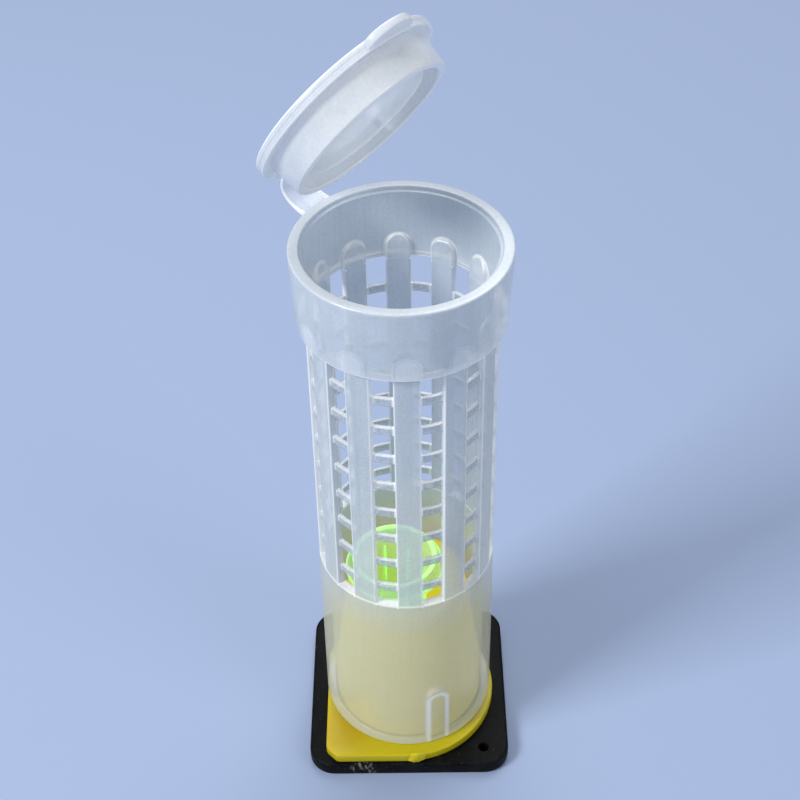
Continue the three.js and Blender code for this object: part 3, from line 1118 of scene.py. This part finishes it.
@dataclass
class CupHolder:
    """The flanged holder: a hollow tapered plug with a socket for the cup and a key for the cage."""

    low: float = 2.15
    thick: float = 1.45
    flange: float = 12.1
    flange_centre: tuple[float, float] = (-0.4, -0.9)
    flat_x: float = -11.2
    chamfer: float = 1.5
    seat: float = 9.9
    seat_height: float = 5.0
    top_radius: float = 7.6
    height: float = 23.0
    wall: float = 1.2
    socket: float = 5.3
    socket_floor: float = 5.0
    socket_depth: float = 6.65
    floor_thick: float = 1.3
    bore: float = 8.0
    key_azimuth: float = -69.6
    key_half: float = 1.05
    key_reach: float = 10.5
    key_height: float = 11.0
    burr_x: float = 1.2
    burr_drift: float = 1.1
    burr_rings: tuple[Corner, ...] = (
        (0, 1.1, 0.8), (0.25, 1.05, 0.85), (0.42, 0.8, 0.65), (0.58, 0.5, 0.35), (0.68, 0.1, 0.06),
    )

    def plan(self) -> np.ndarray:
        """The flange's outline: round, with one chamfered square corner at front left."""
        across, along = self.flange_centre
        front = along - self.flange
        chord = 180 - math.degrees(math.acos((across - self.flat_x) / self.flange))
        corner_x, corner_y = self.flat_x + self.chamfer, front + self.chamfer
        corners: list[Corner] = [(self.flat_x, corner_y, 0.5), (corner_x, front, 0.5)]
        corners += [(x, front, 0.0) for x in np.linspace(corner_x + 1.2, across - 1.2, 5)]
        corners += arc(self.flange_centre, self.flange, -90, chord, 84)
        corners += [(self.flat_x, y, 0.0) for y in np.linspace(2.5, corner_y + 1.2, 9)]
        return soften(corners)

    def gate_burr(self) -> Solid:
        """The torn stub on the flange's front edge; each ring is its reach, half width and half height."""
        front = self.flange_centre[1] - self.flange
        centre = Vector((self.burr_x, front + 0.22, self.low + self.thick * 0.7))
        angles = np.linspace(0, 2 * math.pi, 14, endpoint=False)
        rings = []
        for reach, wide, tall in self.burr_rings:
            ragged = 1 + 0.22 * np.sin(3 * angles + 9 * reach)
            rings.append(
                np.column_stack([
                    centre.x - self.burr_drift * reach + wide * ragged * np.cos(angles),
                    np.full(len(angles), centre.y - reach),
                    centre.z - 0.5 * reach + tall * ragged * np.sin(angles),
                ])
            )
        return loft(rings)

    def build(self, material: Material) -> Piece:
        """Makes the holder.

        Args:
            material: its finish.

        Returns:
            The finished holder.
        """
        top = self.low + self.height
        seat_top = self.low + self.thick + self.seat_height
        socket_floor = top - self.socket_depth
        bore_top = socket_floor - self.floor_thick
        holder = slab(self.plan(), self.low, self.low + self.thick, 0.22).place("holder_flange")
        plug = [
            (self.bore - 1, self.low + 0.3, 0), (self.seat, self.low + 0.3, 0), (self.seat, seat_top, 0.6),
            (self.top_radius, top, 0.35), (self.socket, top, 0.35), (self.socket_floor, socket_floor, 0.8),
            (0, socket_floor, 0), (0, bore_top, 0), (self.bore - 1, bore_top, 0),
        ]
        join(holder, revolve(plug, 160).place("plug"), Joining.UNION)
        hollow = [
            (0, self.low - 1, 0), (self.bore, self.low - 1, 0), (self.bore, seat_top, 0),
            (self.socket_floor + self.wall, bore_top, 0.5), (0, bore_top, 0),
        ]
        join(holder, revolve(hollow, 160).place("hollow"), Joining.CUT)
        key_top = self.low + self.key_height
        key = upright_strip(
            self.key_half, self.seat - 0.9, self.key_reach, self.low + 0.6, key_top, self.key_azimuth
        )
        join(holder, key.place("key"), Joining.UNION)
        join(holder, self.gate_burr().place("burr"), Joining.UNION)
        return finish_piece(holder, "cup_holder_moulding", material, 35)


@dataclass
class CellCup:
    """The small collared cup that holds the larva."""

    length: float = 10.7
    foot: float = 3.4
    neck: float = 3.9
    rim: float = 5.5
    collar: float = 6.4
    collar_at: float = 8.6
    collar_thick: float = 0.6
    wall: float = 0.55
    ribs: int = 8

    def build(self, foot: Vector, material: Material) -> Piece:
        """Makes the cup and stands it on its foot.

        Args:
            foot: the middle of its closed end.
            material: its finish.

        Returns:
            The finished cup.
        """
        collar_top = self.collar_at + self.collar_thick
        bore = self.neck - self.wall
        cup = revolve([
            (0, 0, 0), (self.foot, 0, 0.6), (self.neck, self.collar_at, 0.3),
            (self.collar, self.collar_at, 0.3), (self.collar, collar_top, 0.3),
            (self.rim, collar_top, 0.3), (self.rim, self.length, 0.25),
            (self.rim - self.wall, self.length, 0.25), (bore, self.collar_at - 0.4, 1.2),
            (self.foot - self.wall, 1.8, 1.0), (self.foot - self.wall - 0.8, 1, 0.4), (0, 1, 0),
        ], 128).place("cup_body")
        rib = upright_strip(0.2, self.neck - 0.4, self.neck + 0.5, 1.5, self.collar_at + 0.2, 0)
        ribs = rib.place("cup_ribs")
        ring_of(ribs, self.ribs, 20, material)
        join(cup, ribs, Joining.UNION)
        keep_drawn_place(cup)
        cup.data.transform(Matrix.Translation(foot))
        return finish_piece(cup, "cell_cup_moulding", material, 35)


@dataclass
class CageBody:
    """The roller cage: skirt, bars, hoops and collar in one moulding."""

    foot: float = 3.65
    height: float = 75.0
    foot_radius: float = 11.31
    neck_radius: float = 10.92
    foot_bore: float = 10.15
    bore: float = 9.95
    skirt: float = 28.3
    bars: int = 12
    bar_half: float = 1.525
    first_bar: float = -87.7
    dome: float = 3.2
    dome_sink: float = 0.75
    collar: float = 9.35
    collar_foot: float = 11.85
    collar_top: float = 12.29
    collar_bore: float = 10.63
    lead_in: float = 0.45
    key_azimuth: float = -69.6
    key_half: float = 1.3
    key_height: float = 9.9
    key_floor: float = 10.75
    hoops: HoopStack = field(default_factory=HoopStack)

    def skirt_solid(self) -> Solid:
        """The plain lower tube, a little thicker in a bead round its foot."""
        top = self.foot + self.skirt
        share = self.skirt / (self.height - self.collar)
        outside = self.foot_radius + (self.neck_radius - self.foot_radius) * share
        return revolve([
            (self.foot_bore, self.foot, 0.25), (self.foot_radius, self.foot, 0.22),
            (outside, top, 0.16), (self.bore, top, 0.16),
        ])

    def collar_solid(self) -> Solid:
        """The flared mouth with its lead-in step."""
        low = self.foot + self.height - self.collar
        top = self.foot + self.height
        return revolve([
            (self.collar_bore, low, 0.1), (self.collar_foot, low, 0.16), (self.collar_top, top - 0.25, 0.3),
            (self.collar_top - 0.12, top, 0.22), (self.collar_bore + self.lead_in, top, 0.12),
            (self.collar_bore + self.lead_in * 0.75, top - self.lead_in, 0.06),
            (self.collar_bore, top - self.lead_in - 0.1, 0.06),
        ])

    def bar_solid(self) -> Solid:
        """One bar, from inside the skirt up to its round nose inside the collar."""
        low = self.foot + self.skirt - 1
        crown = self.foot + self.height - self.collar + self.dome
        inner = self.bore + 0.02
        bar = upright_strip(self.bar_half, inner, self.neck_radius, low, crown, 0, self.dome_sink)
        reach = self.height - self.collar - self.skirt + 1
        taper = (self.foot_radius - self.neck_radius) / (self.height - self.collar)
        radius = np.hypot(bar.points[:, 0], bar.points[:, 1])
        outer_share = np.clip((radius - self.bore) / (self.neck_radius - self.bore), 0, 1)
        up = np.clip((bar.points[:, 2] - low) / reach, 0, 1)
        swell = 1 + outer_share * (1 - up) * (taper * reach - 0.03) / radius
        bar.points[:, :2] *= swell[:, None]
        return bar

    def build(self, material: Material) -> Piece:
        """Makes the cage.

        Args:
            material: its finish.

        Returns:
            The finished cage body.
        """
        cage = self.bar_solid().place("cage_bars")
        ring_of(cage, self.bars, self.first_bar, material)
        join(cage, self.hoops.build(self.foot, material), Joining.UNION)
        join(cage, self.skirt_solid().place("skirt"), Joining.UNION)
        join(cage, self.collar_solid().place("collar"), Joining.UNION)
        key_top = self.foot + self.key_height
        keyway = upright_strip(
            self.key_half, self.foot_bore - 1, self.key_floor, self.foot - 1, key_top, self.key_azimuth
        )
        join(cage, keyway.place("keyway"), Joining.CUT)
        return finish_piece(cage, "cage_moulding", material, 32)


@dataclass
class LidHinge:
    """Where the lid hangs and how far open it is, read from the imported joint."""

    pivot: Vector
    axis: Vector
    opened: float

    @classmethod
    def from_joint(cls, joint: dict) -> LidHinge:
        """Reads a hinge, in millimetres and radians."""
        opened = math.radians(-joint["range_deg"][0])
        return cls(Vector(joint["pos_m"]) / MM, Vector(joint["axis"]).normalized(), opened)

    @property
    def azimuth(self) -> float:
        """The azimuth of the hinge, in radians."""
        return math.atan2(-self.axis.x, self.axis.y)

    def open_lid(self, seat: float) -> Matrix:
        """Carries a lid drawn at the origin, tab along +X, to its open place.

        Args:
            seat: height of the closed lid's underside.

        Returns:
            The matrix.
        """
        swing = Matrix.Rotation(self.opened, 4, self.axis)
        about = Matrix.Translation(self.pivot) @ swing @ Matrix.Translation(-self.pivot)
        facing = Matrix.Rotation(self.azimuth + math.pi, 4, "Z")
        return about @ Matrix.Translation((0, 0, seat)) @ facing


@dataclass
class Lid:
    """The plug lid: flange, thumb tab, hollow plug and the sunk well in its top."""

    radius: float = 11.54
    thick: float = 1.2
    plug_root: float = 10.35
    plug_mouth: float = 9.95
    plug_depth: float = 3.7
    plug_wall: float = 1.0
    well: float = 6.9
    well_wall: float = 0.9
    well_floor: float = 1.0
    recess: float = 0.9
    tab_reach: float = 1.7
    tab_half_angle: float = 16.5
    ribs: int = 4
    first_rib: float = 43.0
    rib_thick: float = 0.6

    def cap_solid(self) -> Solid:
        """The turned part of the lid, its underside at height 0."""
        mouth = -self.plug_depth
        floor = mouth + self.recess
        well_outside = self.well + self.well_wall
        plug_bore = self.plug_mouth - self.plug_wall
        lower_edge = self.radius - 0.05
        return revolve([
            (0, floor, 0), (well_outside, floor, 0.3), (well_outside, -0.1, 0.3),
            (plug_bore + 0.2, -0.1, 0.3), (plug_bore, mouth, 0.25),
            (self.plug_mouth, mouth, 0.35), (self.plug_root, 0, 0.12), (lower_edge, 0, 0.18),
            (lower_edge, self.thick * 0.48, 0.05), (self.radius, self.thick * 0.55, 0.05),
            (self.radius, self.thick, 0.25), (self.well + 0.1, self.thick, 0.3),
            (self.well - 0.1, floor + self.well_floor, 0.6), (0, floor + self.well_floor, 0),
        ], 176)

    def tab_plan(self) -> np.ndarray:
        """The thumb tab's outline, along +X."""
        root = self.radius - 0.35
        half = math.radians(self.tab_half_angle)
        side_x, side_y = root * math.cos(half), root * math.sin(half)
        tip = self.radius + self.tab_reach
        corners: list[Corner] = [(side_x - 1, -side_y, 0), (side_x, -side_y, 0)]
        for t in np.linspace(0, math.pi, 25)[1:-1]:
            bulge = math.sin(t) ** 0.75
            corners.append((side_x + (tip - side_x) * bulge, -side_y * math.cos(t), 0))
        corners += [(side_x, side_y, 0), (side_x - 1, side_y, 0)]
        return soften(corners)

    def build(self, hinge: LidHinge, seat: float, material: Material) -> Piece:
        """Makes the lid and opens it.

        Args:
            hinge: where it hangs.
            seat: height of the closed lid's underside.
            material: its finish.

        Returns:
            The finished lid.
        """
        lid = self.cap_solid().place("lid_cap")
        tab = slab(self.tab_plan(), 0.12, self.thick - 0.1, 0.22)
        join(lid, tab.place("tab"), Joining.UNION)
        half = self.rib_thick / 2
        near = self.well + self.well_wall - half
        far = self.plug_mouth - self.plug_wall + half
        rib = loft([
            np.array([(near, -half, z), (far, -half, z), (far, half, z), (near, half, z)])
            for z in (-self.plug_depth + self.recess + 0.4, 0.3)
        ])
        ribs = rib.place("lid_ribs")
        ring_of(ribs, self.ribs, self.first_rib, material)
        join(lid, ribs, Joining.UNION)
        keep_drawn_place(lid)
        lid.data.transform(hinge.open_lid(seat))
        return finish_piece(lid, "lid_moulding", material, 32)


@dataclass
class HingeStrap:
    """The thin web between collar and lid, thinned in the middle where it bends."""

    width: float = 4.4
    ends_thick: float = 0.55
    middle_thick: float = 0.34
    steps: int = 28
    held: int = 3
    rim_handle: tuple[float, float] = (3.4, 0.5)
    lid_handle: tuple[float, float] = (3.9, -3.5)

    def route(self, rim: Vector, edge: Vector) -> list[Vector]:
        """The web's middle line in the hinge's upright plane.

        Args:
            rim: its end on the collar, as (out, up).
            edge: its end on the lid.

        Returns:
            Points from the collar to the lid.
        """
        handles = (rim, rim + Vector(self.rim_handle), edge + Vector(self.lid_handle), edge)
        points = []
        for k in range(self.steps + 1):
            t = k / self.steps
            weights = ((1 - t) ** 3, 3 * t * (1 - t) ** 2, 3 * t * t * (1 - t), t ** 3)
            points.append(sum((w * h for w, h in zip(weights, handles)), Vector((0, 0))))
        return points

    def build(
        self, hinge: LidHinge, cage: CageBody, lid: Lid, seat: float, material: Material
    ) -> tuple[Piece, Point, Point]:
        """Makes the strap.

        Args:
            hinge: where the lid hangs.
            cage: the cage that it leaves.
            lid: the lid that it reaches.
            seat: height of the closed lid's underside.
            material: its finish.

        Returns:
            The finished strap, and the points between which it bends.
        """
        reach = Vector((hinge.pivot.x, hinge.pivot.y)).length
        closed = Vector((lid.radius - 0.25 - reach, seat + lid.thick * 0.45 - hinge.pivot.z))
        turn = hinge.opened
        swung = Vector((
            closed.x * math.cos(turn) + closed.y * math.sin(turn),
            -closed.x * math.sin(turn) + closed.y * math.cos(turn),
        ))
        edge = Vector((reach, hinge.pivot.z)) + swung
        rim = Vector((cage.collar_top - 0.2, cage.foot + cage.height - 0.5))
        line = self.route(rim, edge)
        rings = []
        for k, point in enumerate(line):
            ahead = (line[min(k + 1, self.steps)] - line[max(k - 1, 0)]).normalized()
            side = Vector((ahead.y, -ahead.x))
            waist = math.sin(math.pi * k / self.steps)
            thick = self.ends_thick + (self.middle_thick - self.ends_thick) * waist
            half = self.width / 2 - 0.1 * waist
            quarters = ((1, -1), (1, 1), (-1, 1), (-1, -1))
            section = soften([(x * thick / 2, y * half, 0.15) for x, y in quarters])
            rings.append(np.array([
                (point.x + side.x * across, along, point.y + side.y * across) for across, along in section
            ]))
        strap = loft(rings).place("strap")
        keep_drawn_place(strap)
        strap.data.transform(Matrix.Rotation(hinge.azimuth, 4, "Z"))
        web = finish_piece(strap, "hinge_strap_web", material, 40)
        start, end = line[self.held], line[-1 - self.held]
        return web, hinge_point(hinge.azimuth, start), hinge_point(hinge.azimuth, end)


def hinge_point(azimuth: float, point: Vector) -> Point:
    """A point of the hinge's upright plane, in metres in the part's frame."""
    return (point.x * math.cos(azimuth) * MM, point.x * math.sin(azimuth) * MM, point.y * MM)


# ---------------------------------------------------------------- studio


@dataclass(frozen=True)
class Lamp:
    """A square soft light that faces the part: its place and side in metres, and its power in watts."""

    name: str
    place: Point
    size: float
    power: float

    def hang(self) -> None:
        """Adds the light."""
        data = bpy.data.lights.new(self.name, "AREA")
        data.shape = "SQUARE"
        data.size = self.size
        data.energy = self.power
        lamp = bpy.data.objects.new(self.name, data)
        lamp.location = self.place
        facing = Vector((0, 0, 0.05)) - Vector(self.place)
        lamp.rotation_euler = facing.to_track_quat("-Z", "Y").to_euler()
        bpy.context.scene.collection.objects.link(lamp)


@dataclass
class Studio:
    """Plain pale floor, soft lights and the camera; the camera's lengths are in millimetres."""

    azimuth: float = 0.64
    elevation: float = 42.03
    distance: float = 174.4
    aim: Point = (-0.64, 0.0, 56.15)
    lens: float = 67.0
    roll: float = -1.17
    shift: float = 0.0022
    floor_half: float = 3.0
    floor_colour: Colour = (0.27, 0.34, 0.50)
    sky: Colour = (0.86, 0.9, 1.0)
    sky_strength: float = 0.32
    lamps: tuple[Lamp, ...] = (
        Lamp("overhead", (0.05, 0.35, 0.7), 0.45, 3.6),
        Lamp("key", (-0.5, -0.28, 0.5), 0.22, 5.2),
        Lamp("fill", (0.5, -0.35, 0.3), 0.3, 1.2),
    )

    def camera(self) -> None:
        """Adds the camera on its side of the part, tipped down, with a slight roll."""
        data = bpy.data.cameras.new("camera")
        data.lens = self.lens
        data.sensor_width = 36
        data.clip_start = 0.01
        data.shift_x = self.shift
        camera = bpy.data.objects.new("camera", data)
        bpy.context.scene.collection.objects.link(camera)
        turn = Matrix.Rotation(math.radians(self.azimuth), 4, "Z")
        tip = Matrix.Rotation(math.radians(90 - self.elevation), 4, "X")
        back = Matrix.Translation((0, 0, self.distance * MM))
        roll = Matrix.Rotation(math.radians(self.roll), 4, "Z")
        camera.matrix_world = Matrix.Translation(Vector(self.aim) * MM) @ turn @ tip @ back @ roll
        bpy.context.scene.camera = camera

    def floor(self) -> None:
        """Adds the floor under the block."""
        half = self.floor_half
        corners = [(-half, -half, 0), (half, -half, 0), (half, half, 0), (-half, half, 0)]
        mesh = bpy.data.meshes.new("floor")
        mesh.from_pydata(corners, [], [(0, 1, 2, 3)])
        floor = bpy.data.objects.new("floor", mesh)
        bpy.context.scene.collection.objects.link(floor)
        shader = Shader("floor_card")
        shader.constant(Base_Color=(*self.floor_colour, 1.0), Roughness=0.8)
        mesh.materials.append(shader.material)

    def light(self) -> None:
        """Hangs the lights: a broad one above and behind, a key at front left and a weak fill."""
        for lamp in self.lamps:
            lamp.hang()
        world = bpy.data.worlds.new("studio")
        world.use_nodes = True
        background = world.node_tree.nodes["Background"]
        background.inputs["Color"].default_value = (*self.sky, 1.0)
        background.inputs["Strength"].default_value = self.sky_strength
        bpy.context.scene.world = world
        bpy.context.scene.view_settings.view_transform = "Standard"


# ---------------------------------------------------------------- assembly


def main() -> None:
    """Builds the cage's pieces in order, and the studio round them."""
    logging.basicConfig(level=logging.INFO, format="%(name)s: %(message)s")
    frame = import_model()
    hinge = LidHinge.from_joint(next(j for j in frame["joints"] if j["name"] == "lid_hinge"))
    cage_low, cage_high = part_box("cage_body")
    foot = cage_low.z / MM
    seat = cage_high.z / MM + 0.05

    Studio().camera()
    frosted = FrostedPlastic().build()
    settle(BaseBlock().build(BlackPlastic().build()), Belonging("block", "base_block", "block_plastic"))
    holder = CupHolder(low=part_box("cup_holder")[0].z / MM)
    settle(holder.build(YellowPlastic().build()), Belonging("holder", "cup_holder", "holder_plastic"))
    cup_low, cup_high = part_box("cell_cup")
    cup_foot = Vector(((cup_low.x + cup_high.x) / 2, (cup_low.y + cup_high.y) / 2, cup_low.z)) / MM
    settle(CellCup().build(cup_foot, GreenPlastic().build()), Belonging("cup", "cell_cup", "cup_plastic"))
    cage = CageBody(foot=foot)
    settle(cage.build(frosted), Belonging("cage", "cage_body", "cage_plastic"))
    lid = Lid()
    settle(lid.build(hinge, seat, LidPlastic().build()), Belonging("lid", "lid", "lid_plastic"))
    web, start, end = HingeStrap().build(hinge, cage, lid, seat, StrapPlastic().build())
    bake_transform(web)
    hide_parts("hinge_strap")
    LOG.info("%s: %d faces between cage and lid", web.name, len(web.data.polygons))
    Studio().floor()
    Studio().light()


if __name__ == "__main__":
    main()
